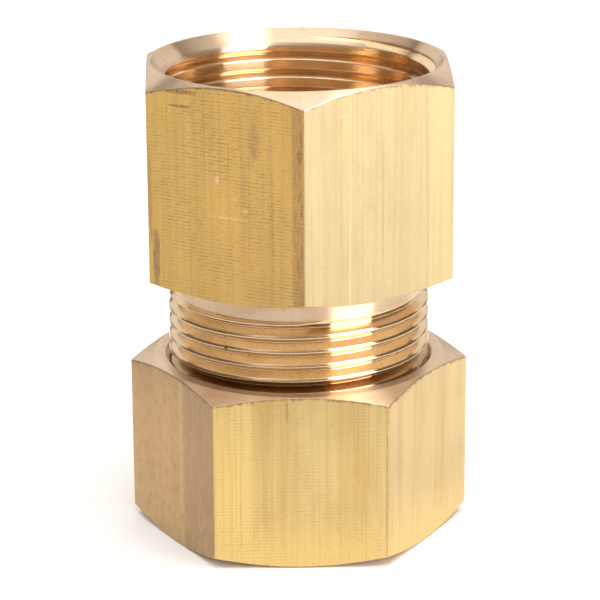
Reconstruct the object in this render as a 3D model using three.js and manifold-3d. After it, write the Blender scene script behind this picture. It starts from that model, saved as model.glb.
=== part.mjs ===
// Brass compression fitting: a connector body with an internal pipe thread,
// a compression nut and the sleeve held between them. Millimetres, +Z up.
// The pipe socket opens upwards and the nut stands on the floor at z = 0.
import * as THREE from 'three';
import Module from 'manifold-3d';
import { mergeVertices } from 'three/addons/utils/BufferGeometryUtils.js';

// ---- wrench flats -------------------------------------------------------
const HEX_AF = 28.575; // 1-1/8 in across flats, body and nut
const HEX_CORNER_R = HEX_AF / Math.sqrt(3);
const NUT_TWIST = -1.45; // degrees the nut stands off being square to the body

// ---- heights above the floor ---------------------------------------------
const BODY_TOP = 46.28;
const BODY_SHOULDER = 25.83; // underside of the body's hexagon
const MALE_END = 13.98;
const NUT_TOP = 17.15;

// ---- straight compression thread, 1 in - 18 --------------------------------
const MALE_PITCH = 25.4 / 18;
const MALE_CREST_R = 12.7;
const MALE_ROOT_R = 11.95;
const MALE_CREST_FLAT = 0.36;
const MALE_THREAD_TOP = 23.87; // the neck's groove cuts the last crest from here down
const MALE_LEAD = 0.85; // lead chamfer on the male end
const CREST_Z_FRONT = 19.738; // height of one crest at azimuth 0
const FULL_CRESTS_ABOVE = 2; // whole turns above that one
const CREST_END_AZIMUTH = 8; // the cut crest over them stops here
const CREST_END_STEP = 60; // degrees cleared at a time past that end
const NECK_R = 12.05;
const NECK_OVERLAP = 0.1; // the neck's core reaches just into the thread
const NUT_THREAD_CLEARANCE = 0.3; // radial gap between the two threads
const NUT_THREAD_BOTTOM = 6.2;

// ---- tapered pipe thread, 3/4 - 14 ------------------------------------------
const PIPE_PITCH = 25.4 / 14;
const PIPE_TAPER = 1 / 32; // radius gained per millimetre of height
const PIPE_ROOT_R = 13.285; // at the face
const PIPE_CREST_R = 12.61; // at the face; the hole is bored wide, so the crests are broad
const PIPE_CREST_FLAT = 0.12;
const PIPE_FLOOR = 31.5;
const GROOVE_Z_BACK = 43.85; // height of one groove's bottom at azimuth 180

// ---- body details -------------------------------------------------------------
const TOP_LAND_R = 14.2; // outer edge of the thin flat land on top
const TOP_LAND_WIDTH = 0.25;
const TOP_CHAMFER_SLOPE = 0.533; // drop per millimetre of radius
const COUNTERSINK_DEPTH = 1.5;
const TAP_TOP = 45.83; // the tapped groove fades out just under the face
const UNDER_LAND_R = 14.2;
const UNDER_CHAMFER_SLOPE = 0.385;
const SEAT_MOUTH_R = 11.2;
const SEAT_SLOPE = Math.tan(Math.PI / 6); // radius lost per millimetre of height
const TUBE_SOCKET_R = 9.6; // for 3/4 in (19.05 mm) tube
const TUBE_STOP = 29.5;
const THROUGH_R = 8.1;

// ---- nut details --------------------------------------------------------------
const NUT_TOP_LAND_R = 14.1;
const NUT_TOP_SLOPE = 0.384;
const NUT_BASE_LAND_R = 14.0;
const NUT_BASE_SLOPE = 0.412;
const NUT_MOUTH_R = 13.07;
const NUT_CONE_R = 11.6; // widest radius of the cone that bears on the sleeve
const NUT_CONE_BOTTOM = 2.6;
const TUBE_HOLE_R = 9.7;
const TUBE_HOLE_BEVEL = 0.4;

// ---- sleeve ---------------------------------------------------------------------
const SLEEVE_BORE_R = 9.62;
const SLEEVE_BOTTOM = 3.7;
const SLEEVE_TOP = 15.48;
const SLEEVE_END_R = 10.0;
const SLEEVE_BELLY_R = 10.8;
const SLEEVE_STATIONS = [-1, -0.92, -0.78, -0.5, 0, 0.5, 0.78, 0.92, 1]; // shares of half its length

const TURNED_SIDES = 36; // facets round every turned face
const THREAD_COLUMNS = 36; // facets per turn of thread
const SPARE = 1; // overshoot of cutters past the faces they cut

const wasm = await Module();
wasm.setup();

// Turns a closed three.js geometry into a solid, facing outwards.
function solid(geometry) {
  const bare = geometry.index ? geometry.toNonIndexed() : geometry.clone();
  bare.deleteAttribute('normal');
  bare.deleteAttribute('uv');
  const merged = mergeVertices(bare, 1e-5);
  const source = merged.index.array;
  const kept = [];
  for (let i = 0; i < source.length; i += 3) {
    const [a, b, c] = [source[i], source[i + 1], source[i + 2]];
    if (a !== b && b !== c && c !== a) kept.push(a, b, c);
  }
  const build = (tris) => new wasm.Manifold(new wasm.Mesh({
    numProp: 3,
    vertProperties: new Float32Array(merged.attributes.position.array),
    triVerts: new Uint32Array(tris),
  }));
  const first = build(kept);
  if (first.volume() > 0) return first;
  const flipped = [];
  for (let i = 0; i < kept.length; i += 3) {
    flipped.push(kept[i], kept[i + 2], kept[i + 1]);
  }
  return build(flipped);
}

// A turned solid from a closed outline of [radius, height] points.
function turned(outline) {
  const points = [...outline, outline[0]].map(([r, z]) => new THREE.Vector2(r, z));
  const lathe = new THREE.LatheGeometry(points, TURNED_SIDES);
  lathe.rotateX(Math.PI / 2);
  return solid(lathe);
}

// A hexagonal bar with one corner at azimuth `twist` degrees from -Y.
function hexBar(bottom, top, twist) {
  const bar = new THREE.CylinderGeometry(HEX_CORNER_R, HEX_CORNER_R, top - bottom, 6, 1);
  bar.rotateX(Math.PI / 2);
  bar.rotateZ(THREE.MathUtils.degToRad(twist));
  bar.translate(0, 0, (top + bottom) / 2);
  return solid(bar);
}

// A screw-shaped solid. `profile` lists [fraction of a pitch, radius at z = 0]
// over one pitch; radius grows by `taper` per millimetre of height.
function screw(profile, pitch, taper, zAtFront, bottom, top) {
  const rows = [];
  const first = Math.floor((bottom - zAtFront) / pitch) - 2;
  const last = Math.ceil((top - zAtFront) / pitch) + 1;
  for (let turn = first; turn <= last; turn += 1) {
    for (const [share, radius] of profile) {
      rows.push({ z: zAtFront + (turn + share) * pitch, radius });
    }
  }
  const perTurn = profile.length;
  const count = rows.length;
  const positions = [];
  for (let column = 0; column < THREAD_COLUMNS; column += 1) {
    const angle = (2 * Math.PI * column) / THREAD_COLUMNS;
    for (const row of rows) {
      const z = row.z + (pitch * column) / THREAD_COLUMNS;
      const r = row.radius + taper * z;
      positions.push(r * Math.sin(angle), -r * Math.cos(angle), z);
    }
  }
  const id = (column, row) => (column < THREAD_COLUMNS
    ? column * count + row
    : row + perTurn);
  const index = [];
  for (let column = 0; column < THREAD_COLUMNS; column += 1) {
    const spare = column === THREAD_COLUMNS - 1 ? perTurn : 0;
    for (let row = 0; row + 1 + spare < count; row += 1) {
      const [a, b] = [id(column, row), id(column + 1, row)];
      const [c, d] = [id(column + 1, row + 1), id(column, row + 1)];
      index.push(a, b, c, a, c, d);
    }
  }
  const lowLoop = [];
  const highLoop = [];
  for (let column = 0; column < THREAD_COLUMNS; column += 1) {
    lowLoop.push(id(column, 0));
    highLoop.push(id(column, count - 1));
  }
  for (let row = perTurn; row > 0; row -= 1) lowLoop.push(row);
  const lastColumn = THREAD_COLUMNS - 1;
  for (let row = count - 2; row >= count - 1 - perTurn; row -= 1) {
    highLoop.push(id(lastColumn, row));
  }
  const lowHub = positions.length / 3;
  positions.push(0, 0, rows[0].z - pitch / 2);
  const highHub = lowHub + 1;
  positions.push(0, 0, rows[count - 1].z + pitch * 1.5);
  lowLoop.forEach((vertex, i) => {
    index.push(lowHub, lowLoop[(i + 1) % lowLoop.length], vertex);
  });
  highLoop.forEach((vertex, i) => {
    index.push(highHub, vertex, highLoop[(i + 1) % highLoop.length]);
  });
  const geometry = new THREE.BufferGeometry();
  geometry.setAttribute('position', new THREE.Float32BufferAttribute(positions, 3));
  geometry.setIndex(index);
  return solid(geometry);
}

// Profile of a 60 degree thread, starting at the middle of its widest flat.
function threadProfile(pitch, wideR, narrowR, wideFlat) {
  const flank = (wideR - narrowR) * Math.tan(Math.PI / 6);
  const half = wideFlat / 2 / pitch;
  const run = flank / pitch;
  return [[-half, wideR], [half, wideR], [half + run, narrowR], [1 - half - run, narrowR]];
}

// The share of a ring between two azimuths less than half a turn apart.
function sector(ring, from, to) {
  const a = THREE.MathUtils.degToRad(from);
  const b = THREE.MathUtils.degToRad(to);
  return ring
    .trimByPlane([Math.cos(a), Math.sin(a), 0], 0)
    .trimByPlane([-Math.cos(b), -Math.sin(b), 0], 0);
}

// What is cleared down to the neck's radius past the end of the cut crest,
// over the rising flank of the crest below it.
function pastCrestEnd(from) {
  const to = from + CREST_END_STEP;
  const turns = FULL_CRESTS_ABOVE + to / 360;
  const flank = (MALE_CREST_R - NECK_R) * Math.tan(Math.PI / 6);
  const flankTop = CREST_Z_FRONT + MALE_PITCH * turns + MALE_CREST_FLAT / 2 + flank;
  const ring = turned([
    [NECK_R, flankTop],
    [MALE_CREST_R + SPARE, flankTop],
    [MALE_CREST_R + SPARE, MALE_THREAD_TOP + SPARE],
    [NECK_R, MALE_THREAD_TOP + SPARE],
  ]);
  return sector(ring, from, to);
}

function connectorBody() {
  const chamferFall = (r) => TOP_CHAMFER_SLOPE * (r - TOP_LAND_R);
  const underRise = (r) => UNDER_CHAMFER_SLOPE * (r - UNDER_LAND_R);
  const outside = HEX_CORNER_R + SPARE;
  const hexEnvelope = turned([
    [0, BODY_SHOULDER],
    [UNDER_LAND_R, BODY_SHOULDER],
    [outside, BODY_SHOULDER + underRise(outside)],
    [outside, BODY_TOP - chamferFall(outside)],
    [TOP_LAND_R, BODY_TOP],
    [0, BODY_TOP],
  ]);
  const hex = hexBar(BODY_SHOULDER - SPARE, BODY_TOP + SPARE, 0).intersect(hexEnvelope);
  const neck = turned([
    [0, MALE_THREAD_TOP - NECK_OVERLAP],
    [NECK_R, MALE_THREAD_TOP - NECK_OVERLAP],
    [NECK_R, BODY_SHOULDER + SPARE],
    [0, BODY_SHOULDER + SPARE],
  ]);
  const maleProfile = threadProfile(MALE_PITCH, MALE_CREST_R, MALE_ROOT_R, MALE_CREST_FLAT);
  const maleEnvelope = turned([
    [0, MALE_END],
    [MALE_CREST_R - MALE_LEAD, MALE_END],
    [MALE_CREST_R + SPARE, MALE_END + MALE_LEAD + SPARE],
    [MALE_CREST_R + SPARE, MALE_THREAD_TOP - (MALE_CREST_R + SPARE - NECK_R)],
    [NECK_R, MALE_THREAD_TOP],
    [0, MALE_THREAD_TOP],
  ]);
  const male = screw(maleProfile, MALE_PITCH, 0, CREST_Z_FRONT, MALE_END, MALE_THREAD_TOP)
    .intersect(maleEnvelope)
    .subtract(pastCrestEnd(CREST_END_AZIMUTH))
    .subtract(pastCrestEnd(CREST_END_AZIMUTH + CREST_END_STEP));

  const tapProfile = threadProfile(
    PIPE_PITCH,
    PIPE_ROOT_R - BODY_TOP * PIPE_TAPER,
    PIPE_CREST_R - BODY_TOP * PIPE_TAPER,
    PIPE_CREST_FLAT,
  );
  const tapFront = GROOVE_Z_BACK - PIPE_PITCH / 2;
  const tap = screw(tapProfile, PIPE_PITCH, PIPE_TAPER, tapFront, PIPE_FLOOR, TAP_TOP)
    .intersect(turned([
      [0, PIPE_FLOOR],
      [PIPE_ROOT_R + SPARE, PIPE_FLOOR],
      [PIPE_ROOT_R + SPARE, TAP_TOP],
      [0, TAP_TOP],
    ]));
  const landInnerR = TOP_LAND_R - TOP_LAND_WIDTH;
  const countersink = turned([
    [0, BODY_TOP - COUNTERSINK_DEPTH],
    [landInnerR - COUNTERSINK_DEPTH, BODY_TOP - COUNTERSINK_DEPTH],
    [landInnerR + SPARE, BODY_TOP + SPARE],
    [0, BODY_TOP + SPARE],
  ]);
  const seatDepth = (SEAT_MOUTH_R - TUBE_SOCKET_R) / SEAT_SLOPE;
  const tubeWay = turned([
    [0, MALE_END - SPARE],
    [SEAT_MOUTH_R + SPARE * SEAT_SLOPE, MALE_END - SPARE],
    [TUBE_SOCKET_R, MALE_END + seatDepth],
    [TUBE_SOCKET_R, TUBE_STOP],
    [THROUGH_R, TUBE_STOP],
    [THROUGH_R, PIPE_FLOOR + SPARE],
    [0, PIPE_FLOOR + SPARE],
  ]);
  return hex.add(neck).add(male).subtract(tap).subtract(countersink).subtract(tubeWay);
}

function compressionNut() {
  const topFall = (r) => NUT_TOP_SLOPE * (r - NUT_TOP_LAND_R);
  const baseRise = (r) => NUT_BASE_SLOPE * (r - NUT_BASE_LAND_R);
  const outside = HEX_CORNER_R + SPARE;
  const envelope = turned([
    [0, 0],
    [NUT_BASE_LAND_R, 0],
    [outside, baseRise(outside)],
    [outside, NUT_TOP - topFall(outside)],
    [NUT_TOP_LAND_R, NUT_TOP],
    [0, NUT_TOP],
  ]);
  const hex = hexBar(-SPARE, NUT_TOP + SPARE, 30 + NUT_TWIST).intersect(envelope);
  const tapProfile = threadProfile(
    MALE_PITCH,
    MALE_CREST_R + NUT_THREAD_CLEARANCE,
    MALE_ROOT_R + NUT_THREAD_CLEARANCE,
    MALE_CREST_FLAT,
  );
  const tap = screw(tapProfile, MALE_PITCH, 0, CREST_Z_FRONT, NUT_THREAD_BOTTOM, NUT_TOP + SPARE)
    .intersect(turned([
      [0, NUT_THREAD_BOTTOM],
      [MALE_CREST_R + SPARE, NUT_THREAD_BOTTOM],
      [MALE_CREST_R + SPARE, NUT_TOP + SPARE],
      [0, NUT_TOP + SPARE],
    ]));
  const mouthDepth = NUT_MOUTH_R - MALE_ROOT_R - NUT_THREAD_CLEARANCE;
  const mouth = turned([
    [0, NUT_TOP - mouthDepth],
    [NUT_MOUTH_R - mouthDepth, NUT_TOP - mouthDepth],
    [NUT_MOUTH_R + SPARE, NUT_TOP + SPARE],
    [0, NUT_TOP + SPARE],
  ]);
  const coneTop = NUT_CONE_BOTTOM + (NUT_CONE_R - TUBE_HOLE_R) / SEAT_SLOPE;
  const tubeWay = turned([
    [0, -SPARE],
    [TUBE_HOLE_R + TUBE_HOLE_BEVEL + SPARE, -SPARE],
    [TUBE_HOLE_R, TUBE_HOLE_BEVEL],
    [TUBE_HOLE_R, NUT_CONE_BOTTOM],
    [NUT_CONE_R, coneTop],
    [NUT_CONE_R, NUT_THREAD_BOTTOM + SPARE],
    [0, NUT_THREAD_BOTTOM + SPARE],
  ]);
  return hex.subtract(tap).subtract(mouth).subtract(tubeWay);
}

function compressionSleeve() {
  const middle = (SLEEVE_BOTTOM + SLEEVE_TOP) / 2;
  const half = (SLEEVE_TOP - SLEEVE_BOTTOM) / 2;
  const bulge = SLEEVE_BELLY_R - SLEEVE_END_R;
  const outer = SLEEVE_STATIONS.map((t) => [SLEEVE_BELLY_R - bulge * t ** 4, middle + half * t]);
  return turned([...outer, [SLEEVE_BORE_R, SLEEVE_TOP], [SLEEVE_BORE_R, SLEEVE_BOTTOM]]);
}

function meshOf(shape, name, colour, roughness) {
  const data = shape.getMesh();
  const geometry = new THREE.BufferGeometry();
  const positions = new THREE.BufferAttribute(new Float32Array(data.vertProperties), 3);
  geometry.setAttribute('position', positions);
  geometry.setIndex(new THREE.BufferAttribute(new Uint32Array(data.triVerts), 1));
  geometry.computeVertexNormals();
  const material = new THREE.MeshStandardMaterial({ color: colour, metalness: 1, roughness });
  material.name = name;
  const mesh = new THREE.Mesh(geometry, material);
  mesh.name = name;
  return mesh;
}

const fitting = new THREE.Group();
fitting.name = 'compression_fitting';
fitting.add(meshOf(connectorBody(), 'connector_body', 0xc9a14f, 0.32));
fitting.add(meshOf(compressionNut(), 'compression_nut', 0xcda653, 0.34));
fitting.add(meshOf(compressionSleeve(), 'compression_sleeve', 0xd2ae62, 0.28));

export default fitting;
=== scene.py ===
"""Looks of the brass compression fitting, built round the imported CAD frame.

Everything is in metres, +Z up, in the frame's own axes. The shapes are written in
millimetres and scaled once, when a mesh is made. Azimuths are degrees from -Y towards +X.
"""
import math

import bmesh
import bpy
import numpy as np
from mathutils import Matrix, Vector


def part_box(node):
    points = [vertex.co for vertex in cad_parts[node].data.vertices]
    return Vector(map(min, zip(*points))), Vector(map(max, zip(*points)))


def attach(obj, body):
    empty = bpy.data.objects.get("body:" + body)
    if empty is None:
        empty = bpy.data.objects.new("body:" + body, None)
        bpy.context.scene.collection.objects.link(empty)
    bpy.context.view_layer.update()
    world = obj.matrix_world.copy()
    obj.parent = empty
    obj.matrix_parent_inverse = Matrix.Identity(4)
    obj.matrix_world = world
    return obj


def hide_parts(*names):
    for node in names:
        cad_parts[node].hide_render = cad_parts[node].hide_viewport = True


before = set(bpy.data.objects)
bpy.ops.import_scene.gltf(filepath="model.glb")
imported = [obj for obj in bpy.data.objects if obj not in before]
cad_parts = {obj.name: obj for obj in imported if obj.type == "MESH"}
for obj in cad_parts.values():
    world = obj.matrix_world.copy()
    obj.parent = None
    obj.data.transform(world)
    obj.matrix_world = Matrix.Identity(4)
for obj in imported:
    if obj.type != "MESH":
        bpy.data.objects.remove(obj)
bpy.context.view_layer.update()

MM = 0.001
BODY_BOX = [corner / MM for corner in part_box("connector_body")]
NUT_BOX = [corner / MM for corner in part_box("compression_nut")]
SLEEVE_BOX = [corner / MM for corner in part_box("compression_sleeve")]

# ---- driving sizes, in millimetres ------------------------------------------
HALF_AF = BODY_BOX[1].x  # half the width across the wrench flats
MALE_END = BODY_BOX[0].z
BODY_TOP = BODY_BOX[1].z
NUT_TOP = NUT_BOX[1].z
SLEEVE_BOTTOM = SLEEVE_BOX[0].z
SLEEVE_TOP = SLEEVE_BOX[1].z
SLEEVE_BELLY_R = SLEEVE_BOX[1].x

BODY_SHOULDER = 25.83
NUT_TWIST = -1.45  # degrees the nut stands off being square to the body
CORNER_EASE = 0.24  # radius worn on the hexagons' upright corners

TOP_LAND_R = 14.2
TOP_LAND_INNER_R = 13.95
TOP_CHAMFER_SLOPE = 0.533
UNDER_LAND_R = 14.2
UNDER_CHAMFER_SLOPE = 0.385
NECK_R = 12.05

MALE_PITCH = 25.4 / 18
MALE_CREST_R = 12.7
MALE_ROOT_R = 11.95  # nominal; the rounded valleys go 0.15 deeper
MALE_ROOT_FILLET = 0.10
MALE_CREST_LAND_Z = -0.155  # middle of a crest's flat land, from the crest's nominal middle
MALE_FLANK_END = 0.15  # height of flank kept next to each crest before the valley
# lengths and slants in degrees of the short faces from the land up and down to the flanks
MALE_CREST_UPPER = ((0.02, 0), (0.02, 12), (0.02, 22), (0.18, 30), (0.03, 41), (0.03, 52))
MALE_CREST_LOWER = ((0.02, 0), (0.03, 18), (0.04, 32), (0.05, 46))
MALE_LEAD = 0.85
CREST_Z_FRONT = 19.738  # nominal middle of one crest at azimuth 0
MALE_THREAD_TOP = 23.87  # the neck's groove cuts the last crest from here down
CREST_END = 3 + 8 / 360  # turns above CREST_Z_FRONT where that crest stops
CREST_RUNOUT = 14 / 360  # turns over which it dies away
CHIP_DEPTH = 0.07  # small tears on the flank by the thread's end
CHIP_TURNS = 2 + 40 / 360  # their middle, in turns above CREST_Z_FRONT
CHIP_REACH = 25  # degrees to either side
CHIP_Z = 0.33  # height over the crest's nominal middle
CHIP_TALL = 0.1
CHIP_SEED = 18
NICK_TURNS = 1 - 35 / 360  # a dent in one crest, in turns above CREST_Z_FRONT
NICK_DEPTH = 0.22
NICK_REACH = 1.5  # degrees to either side
NICK_Z = -0.1  # height over the crest's nominal middle
NICK_TALL = 0.2
NICK_DARK_R = 0.34  # radius of the dark mark in it
NUT_THREAD_CLEARANCE = 0.3
NUT_THREAD_BOTTOM = 6.2
NUT_RELIEF_MARGIN = 0.05  # the ring under the nut's thread is this far inside its nominal root

PIPE_PITCH = 25.4 / 14
PIPE_TAPER = 1 / 32
PIPE_ROOT_R = 13.285
PIPE_CREST_R = 12.61
PIPE_ROOT_FLAT = 0.06  # half the height of a groove's flat bottom
PIPE_FLOOR = 31.5
PIPE_FLOOR_MARGIN = 0.06  # how far the floor's corner lies inside the tapped crests
TAP_TOP = 45.83
GROOVE_Z_BACK = 43.85  # height of one groove's bottom at azimuth 180

SEAT_MOUTH_R = 11.2
SEAT_SLOPE = math.tan(math.radians(30))
TUBE_SOCKET_R = 9.6
TUBE_STOP = 29.5
THROUGH_R = 8.1

NUT_TOP_LAND_R = 14.1
NUT_TOP_SLOPE = 0.384
NUT_BASE_LAND_R = 14.0
NUT_BASE_SLOPE = 0.412
NUT_MOUTH_R = 13.07
NUT_CONE_R = 11.6
NUT_CONE_BOTTOM = 2.6
TUBE_HOLE_R = 9.7
TUBE_HOLE_BEVEL = 0.4
SLEEVE_BORE_R = 9.62
SLEEVE_END_R = 10.0
# painted shade on the body's thread next to the nut's top
SHADE_BELOW_NUT_TOP = 0.6  # the dark band on the body's thread, from the nut's top down and up
SHADE_ABOVE_NUT_TOP = 1.05

# ---- mesh density -------------------------------------------------------------
COLUMN_STEP = 2.0  # degrees between columns round a piece
CORNER_OFFSETS = (0, 0.11, 0.22, 0.33, 0.44, 0.7, 1.2)  # extra columns by a hexagon corner
EASE_POINTS = 4  # points round each eased edge
BARREL_POINTS = 25  # points along the sleeve's barrel
WELD = 2e-7  # metres


# ---- meshes ---------------------------------------------------------------------
FLAT, TURNED, ROLLED, TAPPED = range(4)  # material indices on every piece


def columns_for(twist):
    """Azimuths round a piece, with extra ones beside its hexagon's corners."""
    corners = [twist + 60 * k for k in range(6)]
    plain = [twist + COLUMN_STEP * k for k in range(round(360 / COLUMN_STEP))]
    kept = [a for a in plain if all(abs(a - c) > CORNER_OFFSETS[-1] for c in corners)
            and a < twist + 360 - CORNER_OFFSETS[-1]]
    extra = [c + side * o for c in corners for o in CORNER_OFFSETS for side in (-1, 1)]
    extra = [a if a >= twist else a + 360 for a in extra]
    return np.array(sorted(set(np.round(kept + extra, 6))))


def hex_radius(azimuths, twist):
    """Radius of the hexagon, with eased corners, at each azimuth."""
    local = np.radians((azimuths - twist + 30) % 60 - 30)
    flat = HALF_AF / np.cos(np.radians(30) - np.abs(local))
    centre = HALF_AF / math.cos(math.radians(30)) - CORNER_EASE / math.sin(math.radians(60))
    inside = np.maximum(CORNER_EASE ** 2 - (centre * np.sin(local)) ** 2, 0)
    eased = centre * np.cos(local) + np.sqrt(inside)
    foot = math.atan2(CORNER_EASE * 0.5, centre + CORNER_EASE * math.cos(math.radians(30)))
    return np.where(np.abs(local) < foot, eased, flat)


class Skin:
    """Gathers the strips of one closed piece, then welds them into a mesh."""

    def __init__(self, azimuths):
        self.azimuths = azimuths
        self.points = []
        self.faces = []
        self.finishes = []
        self.count = 0

    def _add(self, radii, heights):
        """Adds rows of points; returns their index grid."""
        angle = np.radians(self.azimuths)
        grid = np.stack([radii * np.sin(angle), -radii * np.cos(angle), heights], -1)
        self.points.append(grid.reshape(-1, 3))
        index = self.count + np.arange(radii.size).reshape(radii.shape)
        self.count += radii.size
        return index

    def _quads(self, a, b, finish):
        """Joins index grid a to index grid b, its neighbour one column on."""
        quads = np.stack([a[:-1], b[:-1], b[1:], a[1:]], -1).reshape(-1, 4)
        self.faces.append(quads)
        self.finishes.append(np.broadcast_to(finish, len(quads)))

    def outline(self, corners, finishes):
        """A strip through eased corners (radius, height, ease); one finish for each stretch."""
        shape = self.azimuths.shape
        spots = [np.stack([np.broadcast_to(r, shape), np.broadcast_to(z, shape)], -1)
                 for r, z, _ in corners]
        rows = []
        row_finish = []
        last = len(corners) - 1
        for k, (_, _, ease) in enumerate(corners):
            here = spots[k]
            if ease and 0 < k < last:
                back = spots[k - 1] - here
                ahead = spots[k + 1] - here
                back_length = np.linalg.norm(back, axis=-1, keepdims=True)
                ahead_length = np.linalg.norm(ahead, axis=-1, keepdims=True)
                reach = np.minimum(ease, 0.45 * np.minimum(back_length, ahead_length))
                start = here + back / back_length * reach
                end = here + ahead / ahead_length * reach
                for t in np.linspace(0, 1, EASE_POINTS):
                    rows.append((1 - t) ** 2 * start + 2 * t * (1 - t) * here + t ** 2 * end)
                    row_finish.append(finishes[k - 1] if t < 0.5 else finishes[k])
            else:
                rows.append(here)
                row_finish.append(finishes[min(k, last - 1)])
        grid = np.array(rows)
        index = self._add(grid[..., 0], grid[..., 1])
        following = np.roll(index, -1, axis=1)
        for k in range(len(rows) - 1):
            self._quads(index[k:k + 2], following[k:k + 2], row_finish[k])

    def thread(self, profile, pitch, z_front, bottom, top, radius_at, finish_at):
        """A screw surface between two rings. profile lists (height, radius) over one pitch;
        radius_at(radius, height, turns, offset) shapes it further: turns counts along the helix
        to the nearest crest, offset is the height above it; finish_at picks the finish."""
        first = math.floor((bottom - z_front) / pitch) - 3
        last = math.ceil((top - z_front) / pitch) + 2
        base = np.array([(z_front + turn * pitch + z, r)
                         for turn in range(first, last + 1) for z, r in profile])
        heights = base[:, :1] + pitch * self.azimuths[None, :] / 360
        radii = np.broadcast_to(base[:, 1:], heights.shape)
        share = np.tile([z / pitch for z, _ in profile], last + 1 - first)
        number = np.repeat(np.arange(first, last + 1), len(profile)) + np.round(share - 1e-6)
        turns = number[:, None] + self.azimuths[None, :] / 360
        offset = heights - z_front - turns * pitch
        heights = np.clip(heights, bottom, top)
        radii = radius_at(radii, heights, turns, offset)
        index = self._add(radii, heights)
        finish = finish_at(radii, heights)
        for i in range(index.shape[1] - 1):
            self._quads(index[:, i], index[:, i + 1], finish[1:, i])
        turn_rows = len(profile)
        self._quads(index[:-turn_rows, -1], index[turn_rows:, 0], finish[1:-turn_rows, -1])

    def mesh(self, name):
        """The welded mesh of all the strips, shaded smoothly."""
        mesh = bpy.data.meshes.new(name)
        points = np.concatenate(self.points) * MM
        faces = np.concatenate([f.reshape(-1, 4) for f in self.faces])
        mesh.from_pydata(points.tolist(), [], faces.tolist())
        mesh.polygons.foreach_set("material_index", np.concatenate(self.finishes).astype(np.int32))
        work = bmesh.new()
        work.from_mesh(mesh)
        bmesh.ops.remove_doubles(work, verts=work.verts, dist=WELD)
        bmesh.ops.recalc_face_normals(work, faces=work.faces)
        for face in work.faces:
            face.smooth = True
        work.to_mesh(mesh)
        work.free()
        even_shading(mesh)
        return mesh


def even_shading(mesh):
    """Gives every vertex the mean normal of its faces, the large faces counting most."""
    normals = np.empty(len(mesh.polygons) * 3)
    areas = np.empty(len(mesh.polygons))
    sizes = np.empty(len(mesh.polygons), dtype=np.int32)
    vertices = np.empty(len(mesh.loops), dtype=np.int32)
    mesh.polygons.foreach_get("normal", normals)
    mesh.polygons.foreach_get("area", areas)
    mesh.polygons.foreach_get("loop_total", sizes)
    mesh.loops.foreach_get("vertex_index", vertices)
    shares = np.repeat(normals.reshape(-1, 3) * (areas / MM ** 2)[:, None], sizes, axis=0)
    total = np.zeros((len(mesh.vertices), 3))
    np.add.at(total, vertices, shares)
    total /= np.maximum(np.linalg.norm(total, axis=1, keepdims=True), 1e-12)
    mesh.normals_split_custom_set_from_vertices(total.tolist())


def make_piece(name, skin, materials, node, body):
    """One finished piece, which replaces a CAD node and rides on its body."""
    piece = bpy.data.objects.new(name, skin.mesh(name))
    bpy.context.scene.collection.objects.link(piece)
    for material in materials:
        piece.data.materials.append(material)
    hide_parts(node)
    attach(piece, body)
    return piece


def male_profile(grow):
    """One pitch of the thread, from under one crest up to under the next; the upper edge
    of a crest is rounder than its lower edge."""
    def edge(faces, way):
        z, drop = MALE_CREST_LAND_Z, 0.0
        points = []
        for length, tilt in faces:
            z += way * length * math.cos(math.radians(tilt))
            drop += length * math.sin(math.radians(tilt))
            points.append((z, -drop))
        return points

    profile = edge(MALE_CREST_LOWER, -1)[::-1] + edge(MALE_CREST_UPPER, 1)
    lower_z, lower_drop = profile[0]
    upper_z, upper_drop = profile[-1]
    slope = 1 / math.tan(math.radians(30))
    gap = MALE_PITCH + lower_z - upper_z
    sharp = (gap * slope - upper_drop - lower_drop) / 2
    valley = upper_z + (sharp + upper_drop) / slope
    hub = sharp - 2 * MALE_ROOT_FILLET
    flank_drop = MALE_FLANK_END * slope
    profile.append((upper_z + MALE_FLANK_END, upper_drop - flank_drop))
    for tilt in (60, 30, 0, -30, -60):
        a = math.radians(tilt)
        profile.append((valley - MALE_ROOT_FILLET * math.sin(a),
                        -hub - MALE_ROOT_FILLET * math.cos(a)))
    profile.append((MALE_PITCH + lower_z - MALE_FLANK_END, lower_drop - flank_drop))
    return [(z, MALE_CREST_R + grow + drop) for z, drop in profile]


def pipe_profile():
    """One pitch of the tapered tap, centred on its groove's bottom; radii at height 0."""
    flat = PIPE_ROOT_FLAT
    root = PIPE_ROOT_R - BODY_TOP * PIPE_TAPER
    crest = PIPE_CREST_R - BODY_TOP * PIPE_TAPER
    run = (root - crest) * math.tan(math.radians(30))
    up = [(0.0, root), (flat * 0.6, root - 0.004), (flat + 0.03, root - 0.06)]
    up += [(flat + run * 0.5, (root + crest) / 2), (flat + run - 0.03, crest + 0.06)]
    up += [(flat + run + 0.02, crest + 0.01), (flat + run + 0.08, crest)]
    up += [(PIPE_PITCH / 2 - 0.01, crest)]
    down = [(PIPE_PITCH - z, r) for z, r in reversed(up[1:5])]
    # the crest's upper edge is worn: heights and lifts of its points
    soft = [(0.0, 0.0), (0.06, 0.008), (0.12, 0.03), (0.17, 0.065)]
    edge = PIPE_PITCH - flat - run
    down = [(edge + z - 0.15, crest + lift) for z, lift in soft] + down[1:]
    return up + down


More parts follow.
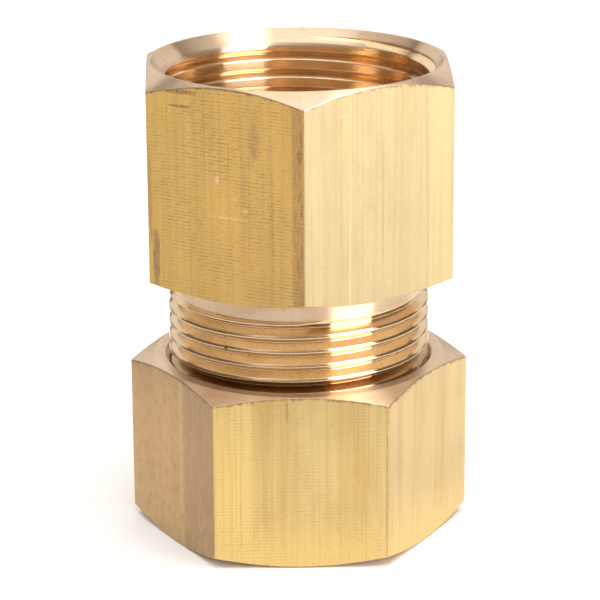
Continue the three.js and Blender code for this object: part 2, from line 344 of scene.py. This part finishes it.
def build_body(materials):
    skin = Skin(columns_for(0))
    hexagon = hex_radius(skin.azimuths, 0)
    arc_top = BODY_TOP - TOP_CHAMFER_SLOPE * (hexagon - TOP_LAND_R)
    arc_under = BODY_SHOULDER + UNDER_CHAMFER_SLOPE * (hexagon - UNDER_LAND_R)
    countersink_r = TOP_LAND_INNER_R - (BODY_TOP - TAP_TOP)
    skin.outline(
        [
            (countersink_r, TAP_TOP, 0),
            (TOP_LAND_INNER_R, BODY_TOP, 0.05),
            (TOP_LAND_R, BODY_TOP, 0.05),
            (hexagon, arc_top, 0.1),
            (hexagon, arc_under, 0.1),
            (UNDER_LAND_R, BODY_SHOULDER, 0.08),
            (NECK_R, BODY_SHOULDER, 0.25),
            (NECK_R, MALE_THREAD_TOP, 0),
        ],
        [TURNED, TURNED, TURNED, FLAT, TURNED, TURNED, TURNED],
    )

    chips = np.random.default_rng(CHIP_SEED).uniform(0, 1, len(skin.azimuths)) ** 2

    def male_ends(radii, heights, turns, offset):
        nick_away = (turns - NICK_TURNS) * 360 / NICK_REACH
        nick = np.exp(-nick_away ** 2 - ((offset - NICK_Z) / NICK_TALL) ** 2)
        chip_away = (turns - CHIP_TURNS) * 360 / CHIP_REACH
        torn = np.exp(-chip_away ** 4 - ((offset - CHIP_Z) / CHIP_TALL) ** 2)
        radii = radii - NICK_DEPTH * nick - CHIP_DEPTH * torn * chips
        fade = np.clip((CREST_END - turns) / CREST_RUNOUT, 0, 1)
        fade = fade * fade * (3 - 2 * fade)
        radii = np.where(radii > NECK_R, NECK_R + (radii - NECK_R) * fade, radii)
        below = MALE_THREAD_TOP - heights
        radii = np.clip(radii, NECK_R - below, NECK_R + below)
        return np.minimum(radii, MALE_CREST_R - MALE_LEAD + heights - MALE_END)

    skin.thread(male_profile(0), MALE_PITCH, CREST_Z_FRONT, MALE_END, MALE_THREAD_TOP,
                male_ends, lambda radii, heights: np.full(radii.shape, ROLLED))
    seat_top = MALE_END + (SEAT_MOUTH_R - TUBE_SOCKET_R) / SEAT_SLOPE
    floor_r = PIPE_CREST_R - (BODY_TOP - PIPE_FLOOR) * PIPE_TAPER - PIPE_FLOOR_MARGIN
    skin.outline(
        [
            (MALE_CREST_R - MALE_LEAD, MALE_END, 0),
            (SEAT_MOUTH_R, MALE_END, 0.06),
            (TUBE_SOCKET_R, seat_top, 0.06),
            (TUBE_SOCKET_R, TUBE_STOP, 0.1),
            (THROUGH_R, TUBE_STOP, 0.1),
            (THROUGH_R, PIPE_FLOOR, 0.1),
            (floor_r, PIPE_FLOOR, 0),
        ],
        [TURNED] * 6,
    )

    def pipe_ends(radii, heights, turns, offset):
        tapered = radii + PIPE_TAPER * heights
        tapered = np.minimum(tapered, floor_r + heights - PIPE_FLOOR)
        return np.maximum(tapered, countersink_r - (TAP_TOP - heights))

    def pipe_finish(radii, heights):
        on_countersink = radii < countersink_r - (TAP_TOP - heights) + 0.01
        return np.where(on_countersink, TURNED, TAPPED)

    skin.thread(pipe_profile(), PIPE_PITCH, GROOVE_Z_BACK - PIPE_PITCH / 2, PIPE_FLOOR, TAP_TOP,
                pipe_ends, pipe_finish)
    return make_piece("connector_body_finished", skin, materials, "connector_body",
                      "connector")


def build_nut(materials):
    twist = 30 + NUT_TWIST
    skin = Skin(columns_for(twist))
    hexagon = hex_radius(skin.azimuths, twist)
    arc_top = NUT_TOP - NUT_TOP_SLOPE * (hexagon - NUT_TOP_LAND_R)
    arc_base = NUT_BASE_SLOPE * (hexagon - NUT_BASE_LAND_R)
    mouth_z = NUT_TOP - 0.03
    mouth_r = NUT_MOUTH_R - (NUT_TOP - mouth_z)
    cone_top = NUT_CONE_BOTTOM + (NUT_CONE_R - TUBE_HOLE_R) / SEAT_SLOPE
    relief_r = MALE_ROOT_R + NUT_THREAD_CLEARANCE - NUT_RELIEF_MARGIN
    skin.outline(
        [
            (relief_r, NUT_THREAD_BOTTOM, 0),
            (NUT_CONE_R, NUT_THREAD_BOTTOM, 0.05),
            (NUT_CONE_R, cone_top, 0.05),
            (TUBE_HOLE_R, NUT_CONE_BOTTOM, 0.1),
            (TUBE_HOLE_R, TUBE_HOLE_BEVEL, 0.05),
            (TUBE_HOLE_R + TUBE_HOLE_BEVEL, 0, 0.05),
            (NUT_BASE_LAND_R, 0, 0.1),
            (hexagon, arc_base, 0.1),
            (hexagon, arc_top, 0.1),
            (NUT_TOP_LAND_R, NUT_TOP, 0.06),
            (NUT_MOUTH_R, NUT_TOP, 0.04),
            (mouth_r, mouth_z, 0),
        ],
        [TURNED] * 7 + [FLAT] + [TURNED] * 3,
    )

    def ends(radii, heights, turns, offset):
        radii = np.minimum(radii, relief_r + heights - NUT_THREAD_BOTTOM)
        return np.maximum(radii, mouth_r - (mouth_z - heights))

    skin.thread(male_profile(NUT_THREAD_CLEARANCE), MALE_PITCH, CREST_Z_FRONT,
                NUT_THREAD_BOTTOM, mouth_z, ends,
                lambda radii, heights: np.full(radii.shape, TAPPED))
    return make_piece("compression_nut_finished", skin, materials, "compression_nut",
                      "nut")


def build_sleeve(materials):
    skin = Skin(np.arange(0, 360, COLUMN_STEP))
    middle = (SLEEVE_BOTTOM + SLEEVE_TOP) / 2
    half = (SLEEVE_TOP - SLEEVE_BOTTOM) / 2
    steps = np.linspace(-1, 1, BARREL_POINTS)
    barrel = [(SLEEVE_BELLY_R - (SLEEVE_BELLY_R - SLEEVE_END_R) * t ** 4, middle + half * t, 0.03)
              for t in steps]
    ring = [(SLEEVE_BORE_R, middle, 0), (SLEEVE_BORE_R, SLEEVE_BOTTOM, 0.08)] + barrel
    ring += [(SLEEVE_BORE_R, SLEEVE_TOP, 0.08), (SLEEVE_BORE_R, middle, 0)]
    skin.outline(ring, [TURNED] * (len(ring) - 1))
    return make_piece("compression_sleeve_finished", skin, materials, "compression_sleeve",
                      "sleeve")


# ---- materials --------------------------------------------------------------------
class Nodes:
    """Short calls for building a material's node tree."""

    def __init__(self, name):
        self.material = bpy.data.materials.new(name)
        self.material.use_nodes = True
        self.tree = self.material.node_tree
        self.shader = self.tree.nodes["Principled BSDF"]
        place = self.tree.nodes.new("ShaderNodeTexCoord")
        self.place = place.outputs["Object"]

    def node(self, kind, inputs=None, **settings):
        made = self.tree.nodes.new(kind)
        for key, value in settings.items():
            setattr(made, key, value)
        for key, value in (inputs or {}).items():
            if isinstance(value, bpy.types.NodeSocket):
                self.tree.links.new(value, made.inputs[key])
            else:
                made.inputs[key].default_value = value
        return made

    def math(self, operation, a, b=0.0, c=0.0, clamp=False):
        made = self.node("ShaderNodeMath", {0: a, 1: b, 2: c}, operation=operation,
                         use_clamp=clamp)
        return made.outputs[0]

    def vector(self, operation, a, b=(0, 0, 0)):
        made = self.node("ShaderNodeVectorMath", {0: a, 1: b}, operation=operation)
        return made.outputs["Value" if operation in ("LENGTH", "DOT_PRODUCT") else "Vector"]

    def noise(self, vector, detail=2.0, roughness=0.5, distortion=0.0):
        made = self.node("ShaderNodeTexNoise", {"Vector": vector, "Scale": 1.0, "Detail": detail,
                                                "Roughness": roughness, "Distortion": distortion})
        return made.outputs["Fac"]

    def ramp(self, value, low, high, to_low=0.0, to_high=1.0):
        made = self.node("ShaderNodeMapRange", {"Value": value, "From Min": low, "From Max": high,
                                                "To Min": to_low, "To Max": to_high},
                         interpolation_type="SMOOTHSTEP")
        return made.outputs["Result"]

    def mix(self, share, a, b):
        made = self.node("ShaderNodeMix", data_type="RGBA")
        for key, value in (("Factor", share), ("A", a), ("B", b)):
            socket = next(s for s in made.inputs if s.name == key and s.enabled)
            if isinstance(value, bpy.types.NodeSocket):
                self.tree.links.new(value, socket)
            else:
                socket.default_value = value
        return next(s for s in made.outputs if s.enabled)

    def bump(self, height, distance, normal=None, strength=1.0):
        inputs = {"Height": height, "Distance": distance, "Strength": strength}
        if normal is not None:
            inputs["Normal"] = normal
        return self.node("ShaderNodeBump", inputs).outputs["Normal"]

    def finish(self, **sockets):
        names = {"colour": "Base Color", "roughness": "Roughness", "normal": "Normal",
                 "metallic": "Metallic", "anisotropic": "Anisotropic", "tangent": "Tangent",
                 "turn": "Anisotropic Rotation", "coat": "Coat Weight",
                 "coat_roughness": "Coat Roughness", "coat_ior": "Coat IOR"}
        for key, value in sockets.items():
            socket = self.shader.inputs[names[key]]
            if isinstance(value, bpy.types.NodeSocket):
                self.tree.links.new(value, socket)
            else:
                socket.default_value = value
        return self.material


def around(n):
    """Direction round the fitting's axis at each point, for brushed highlights."""
    across = n.vector("CROSS_PRODUCT", (0, 0, 1), n.place)
    world = n.node("ShaderNodeVectorTransform", {0: n.vector("NORMALIZE", across)},
                   vector_type="VECTOR", convert_from="OBJECT", convert_to="WORLD")
    return world.outputs[0]


class Flats:
    """Where a point lies on a hexagon's flats, for marks that belong to one flat.

    Flats are numbered 0 to 5 with rising azimuth from first_azimuth. On a flat, across
    runs -1 to 1 from corner to corner and up runs 0 to 1 from bottom to top."""

    def __init__(self, n, first_azimuth, bottom, top):
        self.n = n
        self.bottom = bottom
        self.tall = top - bottom
        self.half = HALF_AF * math.tan(math.radians(30))
        xyz = n.node("ShaderNodeSeparateXYZ", {0: n.vector("MULTIPLY", n.place, (1 / MM,) * 3)})
        x, y, self.z = xyz.outputs
        azimuth = n.math("ARCTAN2", x, n.math("MULTIPLY", y, -1.0))
        turns = n.math("MULTIPLY_ADD", azimuth, 3 / math.pi, -first_azimuth / 60)
        nearest = n.math("ROUND", turns)
        self.flat = n.math("WRAP", nearest, 5.5, -0.5)
        angle = n.math("MULTIPLY", n.math("SUBTRACT", turns, nearest), math.pi / 3)
        self.across = n.math("MULTIPLY", n.math("TANGENT", angle), HALF_AF)
        self.place = n.node("ShaderNodeCombineXYZ", {0: self.across, 1: self.z}).outputs[0]
        self.tear = self.noise(1.3, 0.7, detail=4.0, roughness=0.65)

    def noise(self, across_scale, up_scale, detail=2.0, roughness=0.5, distortion=0.0):
        """Noise with its own pattern on every flat; scales are per millimetre."""
        n = self.n
        spot = n.node("ShaderNodeCombineXYZ", {
            0: n.math("MULTIPLY", self.across, across_scale),
            1: n.math("MULTIPLY", self.z, up_scale),
            2: n.math("MULTIPLY", self.flat, 17.3 + across_scale)}).outputs[0]
        return n.noise(spot, detail, roughness, distortion)

    def on(self, number):
        """1 on one flat and 0 on the others."""
        return self.n.math("COMPARE", self.flat, float(number), 0.5)

    def share(self, shares):
        """A strength that differs from flat to flat."""
        total = 0.0
        for number, strength in enumerate(shares):
            total = self.n.math("MULTIPLY_ADD", self.on(number), strength, total)
        return total

    def blot(self, number, across, up, half_width, half_height, ragged=0.8, soft=0.5):
        """A ragged blot on one flat, half_width by half_height millimetres."""
        n = self.n
        centre = (across * self.half, self.bottom + up * self.tall, 0)
        away = n.vector("SUBTRACT", self.place, centre)
        away = n.vector("DIVIDE", away, (half_width, half_height, 1))
        reach = n.math("MULTIPLY_ADD", n.math("SUBTRACT", self.tear, 0.5), ragged,
                       n.vector("LENGTH", away))
        return n.math("MULTIPLY", n.ramp(reach, 1.0, 1.0 - soft), self.on(number))

    def band(self, number, low, high, soft):
        """An upright band on one flat from low to high across it; soft in millimetres."""
        n = self.n
        inside = n.ramp(self.across, low * self.half - soft, low * self.half + soft)
        past = n.ramp(self.across, high * self.half - soft, high * self.half + soft)
        return n.math("MULTIPLY", n.math("SUBTRACT", inside, past), self.on(number))

    def most(self, masks):
        """The strongest of several masks at each point."""
        strongest = masks[0]
        for mask in masks[1:]:
            strongest = self.n.math("MAXIMUM", strongest, mask)
        return strongest


RINGS_PER_METRE = 9000.0
FILM_SCALE = (200, 200, 420)
SPECK_SCALE = (2300, 2300, 2300)
SPECK_BROWN = (0.36, 0.22, 0.13, 1)
# colour of the painted shade on the body's thread next to the nut
THREAD_SHADE_BROWN = (0.40, 0.23, 0.11, 1)
NICK_BROWN = (0.16, 0.08, 0.04, 1)


def turned_brass(name, pale, warm, roughness, rings, shade_band=None, nick=None):
    """Machined brass: fine rings left by the tool, as strong as rings, and a faint warm film.

    shade_band is the lowest and the highest height, in millimetres, of a band of painted shade
    next to the nut's top that stays on the piece, and nick the place of a dark mark, in metres."""
    n = Nodes(name)
    xyz = n.node("ShaderNodeSeparateXYZ", {0: n.place}).outputs
    radius = n.math("SQRT", n.math("ADD", n.math("MULTIPLY", xyz[0], xyz[0]),
                                   n.math("MULTIPLY", xyz[1], xyz[1])))
    grooves = n.node("ShaderNodeCombineXYZ", {
        0: n.math("MULTIPLY", radius, RINGS_PER_METRE),
        1: n.math("MULTIPLY", xyz[2], RINGS_PER_METRE)}).outputs[0]
    fine = n.noise(grooves, detail=3.0, roughness=0.65)
    film = n.noise(n.vector("MULTIPLY", n.place, FILM_SCALE), detail=4.0, roughness=0.6)
    specks = n.noise(n.vector("MULTIPLY", n.place, SPECK_SCALE), detail=3.0, roughness=0.7)
    colour = n.mix(n.ramp(film, 0.35, 0.7), pale, warm)
    colour = n.mix(n.ramp(specks, 0.60, 0.72, 0.0, 0.5), colour, SPECK_BROWN)
    # painted shade: darker brown on the thread next to the nut's top
    if shade_band:
        height = n.math("DIVIDE", n.math("MULTIPLY_ADD", film, 0.0002, xyz[2]), MM)
        band_shade = n.math("MULTIPLY", n.ramp(height, shade_band[0] - 0.4, shade_band[0]),
                      n.ramp(height, shade_band[1] + 0.1, shade_band[1] - 0.1, 0.0, 0.9))
        colour = n.mix(band_shade, colour, THREAD_SHADE_BROWN)
    if nick:
        away = n.vector("LENGTH", n.vector("SUBTRACT", n.place, nick))
        reach = NICK_DARK_R * MM
        colour = n.mix(n.ramp(away, reach, 0.4 * reach, 0.0, 0.9), colour, NICK_BROWN)
    rough = n.ramp(fine, 0.3, 0.7, roughness - 0.04 * rings, roughness + 0.05 * rings)
    normal = n.bump(fine, 0.0000015 * rings)
    return n.finish(colour=colour, roughness=rough, normal=normal, metallic=1.0,
                    anisotropic=1.0, turn=0.25, tangent=around(n))


RIB_SPACING = 0.33  # millimetres between the chatter ribs across the flats
# on each flat: the chatter's strength, how far painted light makes the brass paler and how
# far painted shade darkens it towards a darker tint; tuned to how bright each flat is in the
# photo, lighting included
BODY_LOOK = {"chatter": (1.0, 0.15, 0.5, 0.9, 0.3, 0.7),
             "painted_light": (0.0, 1.0, 0.6, 0.2, 0.3, 0.7),
             "painted_shade": (0.0, 0.45, 0.15, 0.25, 0.1, 0.2),
             "painted_shade_tint": (0.34, 0.28, 0.15, 1)}
NUT_LOOK = {"chatter": (0.40, 0.10, 0.7, 0.3, 0.9, 0.15),
            "painted_light": (1.0, 0.8, 0.5, 0.2, 0.6, 0.0),
            "painted_shade": (0.0, 0.0, 0.15, 0.1, 0.2, 0.6),
            "painted_shade_tint": (0.39, 0.165, 0.0, 1)}
DRAWN_ROUGHNESS = 0.36
DRAWN_YELLOW = (0.60, 0.350, 0.045, 1)
# a paler colour for the flats that catch more light: painted light
DRAWN_LIT_PALE = (0.61, 0.435, 0.135, 1)
DRAWN_OLIVE = (0.49, 0.290, 0.030, 1)
# paler gilt brass, also used for a painted reflection of the floor low on the nut's flats
DRAWN_GILT_AND_SHEEN = (0.73, 0.510, 0.130, 1)
DRAWN_DARK = (0.17, 0.080, 0.010, 1)
# brown of the stains, and of a painted reflection on the nut's left flat
STAIN_AND_SHADE_BROWN = (0.21, 0.085, 0.000, 1)
SCRATCH_PINK = (0.72, 0.50, 0.34, 1)


def drawn_brass(name, bottom, top, first_azimuth, look, rim, marks):
    """Cold-drawn bar: upright streaks, ribs of chatter across them, stains and scratches.

    look is BODY_LOOK or NUT_LOOK, which also give each flat its painted light and painted shade.
    rim(n, flats) gives how far a point is below its top edge, and marks(n, flats) gives its
    stains and gilt bands, among them painted reflections on the nut's flats, and its scratches."""
    n = Nodes(name)
    flats = Flats(n, first_azimuth, bottom, top)
    hairs = flats.noise(5.0, 0.04, detail=3.0, roughness=0.6)
    streaks = flats.noise(1.4, 0.03, detail=3.0, roughness=0.55)
    bands = flats.noise(0.32, 0.012, detail=1.0)
    clouds = flats.noise(0.35, 0.16, detail=4.0, roughness=0.6)
    grain = flats.noise(5.5, 5.0, detail=3.0, roughness=0.75)

    wander = flats.noise(0.1, 0.35, detail=1.0)
    phase = n.math("MULTIPLY_ADD", flats.z, 2 * math.pi / RIB_SPACING,
                   n.math("MULTIPLY", wander, 10.0))
    dashes = n.ramp(flats.noise(1.3, 6.0, detail=4.0, roughness=0.75), 0.40, 0.64)
    region = n.ramp(flats.noise(0.22, 0.16, detail=3.0), 0.34, 0.60, 0.25, 1.0)
    ribs = n.math("MULTIPLY", n.ramp(n.math("SINE", phase), 0.1, 1.0), dashes)
    ribs = n.math("MULTIPLY", ribs, n.math("MULTIPLY", region, flats.share(look["chatter"])))

    stains_and_shade, gilt_and_sheen, scratches = marks(n, flats)
    torn = n.math("MULTIPLY", n.math("SUBTRACT", flats.tear, 0.5), 1.1)
    edge = n.math("ADD", rim(n, flats), torn)
    stains_and_shade = flats.most([stains_and_shade, n.ramp(edge, 0.27, 0.02, 0.0, 1.0)])

    tone = n.math("ADD", n.math("MULTIPLY", streaks, 0.5), n.math("MULTIPLY", bands, 0.5))
    # painted light: the flats that catch more light are paler
    colour = n.mix(flats.share(look["painted_light"]), DRAWN_YELLOW, DRAWN_LIT_PALE)
    colour = n.mix(n.ramp(tone, 0.40, 0.62, 0.0, 0.6), colour, DRAWN_OLIVE)
    colour = n.mix(n.ramp(clouds, 0.42, 0.70, 0.0, 0.5), colour, DRAWN_OLIVE)
    # gilt bands, and a painted reflection of the floor low on the nut's flats
    colour = n.mix(gilt_and_sheen, colour, DRAWN_GILT_AND_SHEEN)
    # painted shade: the flats that catch less light take on a darker tint
    colour = n.mix(flats.share(look["painted_shade"]), colour, look["painted_shade_tint"])
    colour = n.mix(n.ramp(hairs, 0.48, 0.74, 0.0, 0.26), colour, DRAWN_DARK)
    # dark grain, stronger on flats with chatter and on flats with painted shade
    grain_and_shade = n.math("MAXIMUM", flats.share(look["chatter"]), flats.share(look["painted_shade"]))
    grain_and_shade = n.math("MULTIPLY_ADD", grain_and_shade, 0.45, 0.08)
    colour = n.mix(n.math("MULTIPLY", n.ramp(grain, 0.52, 0.72), grain_and_shade), colour, DRAWN_DARK)
    colour = n.mix(n.math("MULTIPLY", ribs, 0.75), colour, DRAWN_DARK)
    wisps = flats.noise(3.2, 0.9, detail=4.0, roughness=0.75)
    # stains, and a painted reflection that darkens the right part of the nut's left flat
    blotchy = n.math("MULTIPLY", stains_and_shade, n.ramp(wisps, 0.32, 0.60, 0.25, 1.0))
    colour = n.mix(blotchy, colour, STAIN_AND_SHADE_BROWN)
    colour = n.mix(scratches, colour, SCRATCH_PINK)

    rough = n.ramp(streaks, 0.3, 0.7, DRAWN_ROUGHNESS - 0.03, DRAWN_ROUGHNESS + 0.04)
    rough = n.math("MULTIPLY_ADD", stains_and_shade, 0.12, rough)
    height = n.math("SUBTRACT", n.math("MULTIPLY", hairs, 0.5), n.math("MULTIPLY", ribs, 1.2))
    height = n.math("ADD", height, n.math("MULTIPLY", grain, 0.35))
    normal = n.bump(height, 0.000004)
    return n.finish(colour=colour, roughness=rough, normal=normal, metallic=1.0,
                    anisotropic=0.6, tangent=around(n), coat=1.0, coat_roughness=0.45,
                    coat_ior=1.9)


def below_arc(edge_height, slope, land):
    """How far a point lies under the arc a lathe chamfer cuts at the top of a flat."""
    def rim(n, flats):
        reach = n.math("SQRT", n.math("MULTIPLY_ADD", flats.across, flats.across, HALF_AF ** 2))
        arc = n.math("MULTIPLY_ADD", n.math("SUBTRACT", reach, land), -slope, edge_height)
        return n.math("SUBTRACT", arc, flats.z)
    return rim


# The blots and bands below are set one by one from the photo; a dark one may be a reflection.
def body_marks(n, flats):
    """Marks of the body's flats: 0 is the front left one, 1 the front right one."""
    tatters = flats.noise(2.6, 0.35, detail=4.0, roughness=0.7)
    ragged = n.math("MULTIPLY", flats.band(0, 0.86, 1.0, 0.35), n.ramp(tatters, 0.36, 0.62))
    stains_and_shade = flats.most([
        n.math("MULTIPLY", ragged, 0.85),
        n.math("MULTIPLY", flats.band(0, 0.85, 1.0, 0.2), 0.45),
        n.math("MULTIPLY", flats.blot(0, 0.38, 0.78, 0.75, 3.6, ragged=1.3, soft=0.8), 0.5),
        n.math("MULTIPLY", flats.blot(0, -0.90, 0.18, 0.5, 3.6, ragged=1.1), 0.8),
        n.math("MULTIPLY", flats.blot(0, -0.97, 0.45, 0.3, 6.0, ragged=1.0), 0.5),
        flats.blot(0, -0.57, 0.963, 2.2, 0.28, ragged=1.4),
        flats.blot(0, -0.56, 0.896, 1.4, 0.13, ragged=0.6, soft=0.3),
        n.math("MULTIPLY", flats.blot(0, 0.60, 0.45, 0.12, 6.5, ragged=1.4), 0.35),
        n.math("MULTIPLY", flats.blot(1, 0.035, 0.38, 0.08, 8.5, ragged=1.0), 0.5),
        n.math("MULTIPLY", flats.blot(1, 0.56, 0.50, 0.10, 9.0, ragged=1.4), 0.25),
    ])
    gilt_and_sheen = flats.most([
        n.math("MULTIPLY", flats.band(1, 0.66, 1.0, 0.15), 0.75),
        flats.band(1, -0.42, -0.39, 0.05),
    ])
    scratches = n.math("MULTIPLY", flats.most([
        flats.blot(0, 0.06, 0.405, 2.4, 0.10, ragged=1.8),
        flats.blot(0, -0.10, 0.575, 0.35, 0.5, ragged=2.2),
        flats.blot(0, 0.12, 0.495, 0.2, 0.25, ragged=2.0),
        flats.blot(0, 0.27, 0.450, 0.35, 0.2, ragged=2.2),
        flats.blot(1, -0.49, 0.89, 0.75, 0.06, ragged=0.5),
    ]), 0.5)
    return stains_and_shade, gilt_and_sheen, scratches


def nut_marks(n, flats):
    """Marks of the nut's flats: 0 faces the front, 1 is right of it, 5 is left of it."""
    mottled = n.ramp(flats.noise(1.1, 0.8, detail=5.0, roughness=0.7), 0.45, 0.70)
    stains_and_shade = flats.most([
        # painted reflection: the right part of the nut's left flat is darker
        n.math("MULTIPLY", flats.band(5, 0.29, 1.0, 0.12), 0.62),
        n.math("MULTIPLY", n.math("MULTIPLY", flats.band(5, -1.0, 1.0, 0.05), mottled), 0.55),
        n.math("MULTIPLY", flats.blot(0, -0.16, 0.92, 0.2, 1.6, ragged=0.9), 0.5),
        n.math("MULTIPLY", flats.blot(0, -0.69, 0.35, 0.05, 6.5, ragged=0.7), 0.5),
        n.math("MULTIPLY", flats.band(0, 0.975, 1.0, 0.06), 0.5),
        n.math("MULTIPLY", flats.blot(1, -0.75, 0.62, 1.6, 4.5, ragged=1.0, soft=0.9), 0.25),
    ])
    gilt_and_sheen = flats.most([
        n.math("MULTIPLY", flats.band(0, -1.0, -0.55, 0.5), 0.75),
        # painted reflection of the floor: the nut's flats grow paler towards the bottom
        n.ramp(n.math("MULTIPLY_ADD", flats.tear, 3.0, flats.z), 8.0, 1.5, 0.0, 0.9),
        n.math("MULTIPLY", flats.band(5, 0.20, 0.27, 0.15), 0.6),
    ])
    scratches = n.math("MULTIPLY", flats.blot(0, -0.60, 0.625, 0.9, 0.06, ragged=0.6), 0.5)
    return stains_and_shade, gilt_and_sheen, scratches


# ---- stage -----------------------------------------------------------------------------
# the photo's viewpoint, fitted to its corners and rims; degrees and millimetres
VIEW_AZIMUTH = -2.064
VIEW_ELEVATION = 17.534
VIEW_ROLL = -0.33
VIEW_DISTANCE = 261.78
VIEW_SIDE = 0.146
VIEW_HEIGHT = 22.19
VIEW_LENS = 160.965
VIEW_SENSOR = 36
# the studio is a guess, tuned until the brass's reflections agree with the photo
FLAG_FROM = -150  # azimuths of the grey card's ends
FLAG_TO = 20
FLAG_INNER_R = 56
FLAG_OUTER_R = 79
FLAG_STEP = 5
FLAG_HEIGHT = 1.0
FLAG_GREY = (0.32, 0.32, 0.32, 1)
FLOOR_PALE = (0.93, 0.93, 0.93, 1)
ROOM = (0.21, 0.17, 0.13, 1)  # the room past the lights, as the brass and the floor see it
WHITE = (1, 1, 1, 1)  # the room as the camera sees it


def make_camera():
    """The photo's viewpoint, turned and rolled as the photo's camera was."""
    data = bpy.data.cameras.new("camera")
    data.lens = VIEW_LENS
    data.sensor_width = VIEW_SENSOR
    data.clip_start = 0.01
    data.clip_end = 10
    camera = bpy.data.objects.new("camera", data)
    bpy.context.scene.collection.objects.link(camera)
    elevation = math.radians(VIEW_ELEVATION)
    back = Vector((0, -math.cos(elevation), math.sin(elevation)))
    right = Vector((1, 0, 0))
    up = back.cross(right)
    roll = math.radians(VIEW_ROLL)
    side = math.cos(roll) * right + math.sin(roll) * up
    above = math.cos(roll) * up - math.sin(roll) * right
    turn = Matrix.Rotation(math.radians(VIEW_AZIMUTH), 4, "Z")
    spot = Vector((VIEW_SIDE, 0, VIEW_HEIGHT)) + back * VIEW_DISTANCE
    pose = Matrix((side, above, back)).transposed().to_4x4()
    pose.translation = spot * MM
    camera.matrix_world = turn @ pose
    bpy.context.scene.camera = camera


def make_floor():
    """A plain pale floor."""
    bpy.ops.mesh.primitive_plane_add(size=6)
    floor = bpy.context.object
    floor.name = "floor"
    n = Nodes("pale_floor")
    floor.data.materials.append(n.finish(colour=FLOOR_PALE, roughness=0.7))


def make_flag():
    """A grey card on the floor round the fitting's left side, seen only in reflections, where it
    puts shade into what the brass reflects on that side.
    """
    rim = []
    for azimuth in range(FLAG_FROM, FLAG_TO + 1, FLAG_STEP):
        a = math.radians(azimuth)
        rim += [Vector((r * math.sin(a), -r * math.cos(a), FLAG_HEIGHT)) * MM
                for r in (FLAG_INNER_R, FLAG_OUTER_R)]
    mesh = bpy.data.meshes.new("flag")
    mesh.from_pydata(rim, [], [(i, i + 1, i + 3, i + 2) for i in range(0, len(rim) - 2, 2)])
    flag = bpy.data.objects.new("flag", mesh)
    bpy.context.scene.collection.objects.link(flag)
    flag.visible_camera = False
    flag.visible_diffuse = False
    flag.visible_shadow = False
    n = Nodes("shade_card")
    mesh.materials.append(n.finish(colour=FLAG_GREY, roughness=0.8))


def area_light(name, azimuth, distance, height, width, tall, radiance, aim_height=22.0):
    """A soft rectangular light aimed at the fitting's axis; degrees and millimetres."""
    data = bpy.data.lights.new(name, "AREA")
    data.shape = "RECTANGLE"
    data.size = width * MM
    data.size_y = tall * MM
    data.energy = radiance * math.pi * data.size * data.size_y
    light = bpy.data.objects.new(name, data)
    bpy.context.scene.collection.objects.link(light)
    a = math.radians(azimuth)
    light.location = Vector((distance * math.sin(a), -distance * math.cos(a), height)) * MM
    aim = Vector((0, 0, aim_height)) * MM - light.location
    light.rotation_euler = aim.to_track_quat("-Z", "Y").to_euler()
    light.visible_camera = False
    return light


def make_world():
    """A dim warm room, which the camera sees as white."""
    world = bpy.data.worlds.new("studio")
    bpy.context.scene.world = world
    world.use_nodes = True
    nodes = world.node_tree.nodes
    links = world.node_tree.links
    rays = nodes.new("ShaderNodeLightPath")
    room = nodes.new("ShaderNodeMix")
    room.data_type = "RGBA"
    room.inputs["A"].default_value = ROOM
    room.inputs["B"].default_value = WHITE
    links.new(rays.outputs["Is Camera Ray"], room.inputs["Factor"])
    links.new(room.outputs["Result"], nodes["Background"].inputs["Color"])


def make_lights():
    """A softbox that acts on reflections only, soft light all round, and a fill that acts
    on matt surfaces only."""
    softbox = area_light("main_softbox", azimuth=48, distance=600, height=430, width=437,
                         tall=860, radiance=6.8, aim_height=430)
    softbox.visible_diffuse = False
    area_light("overhead_panel", azimuth=0, distance=150, height=1000, width=930, tall=930,
               radiance=0.85, aim_height=0)
    area_light("ceiling", azimuth=0, distance=1, height=1010, width=1900, tall=1900,
               radiance=1.1, aim_height=0)
    area_light("backdrop", azimuth=178, distance=900, height=420, width=2700, tall=560,
               radiance=0.8)
    fill = area_light("floor_fill", azimuth=30, distance=700, height=800, width=2200,
                      tall=2200, radiance=1.1, aim_height=0.0)
    fill.visible_glossy = False


def nick_place():
    """Where the nick in the external thread's crest is, in metres."""
    a = math.radians(NICK_TURNS * 360)
    z = CREST_Z_FRONT + MALE_PITCH * NICK_TURNS + MALE_CREST_LAND_Z
    return tuple(Vector((MALE_CREST_R * math.sin(a), -MALE_CREST_R * math.cos(a), z)) * MM)


turned = turned_brass("turned_brass", pale=(0.78, 0.59, 0.41, 1), warm=(0.70, 0.50, 0.33, 1),
                      roughness=0.31, rings=1.0)
# the rolled brass carries painted shade next to the nut's top
rolled = turned_brass("rolled_brass", pale=(0.77, 0.59, 0.37, 1), warm=(0.70, 0.51, 0.30, 1),
                      roughness=0.15, rings=0.3,
                      shade_band=(NUT_TOP - SHADE_BELOW_NUT_TOP, NUT_TOP + SHADE_ABOVE_NUT_TOP),
                      nick=nick_place())
tapped = turned_brass("tapped_brass", pale=(0.95, 0.70, 0.43, 1), warm=(0.88, 0.62, 0.34, 1),
                      roughness=0.22, rings=0.1)
body_drawn = drawn_brass("body_drawn_brass", BODY_SHOULDER, BODY_TOP, -30, BODY_LOOK,
                         below_arc(BODY_TOP, TOP_CHAMFER_SLOPE, TOP_LAND_R), body_marks)
nut_drawn = drawn_brass("nut_drawn_brass", 0.0, NUT_TOP, NUT_TWIST, NUT_LOOK,
                        below_arc(NUT_TOP, NUT_TOP_SLOPE, NUT_TOP_LAND_R), nut_marks)
build_body([body_drawn, turned, rolled, tapped])
build_nut([nut_drawn, turned, rolled, tapped])
build_sleeve([turned, turned, rolled, tapped])
make_floor()
make_flag()
make_world()
make_lights()
make_camera()
bpy.context.scene.view_settings.view_transform = "Standard"
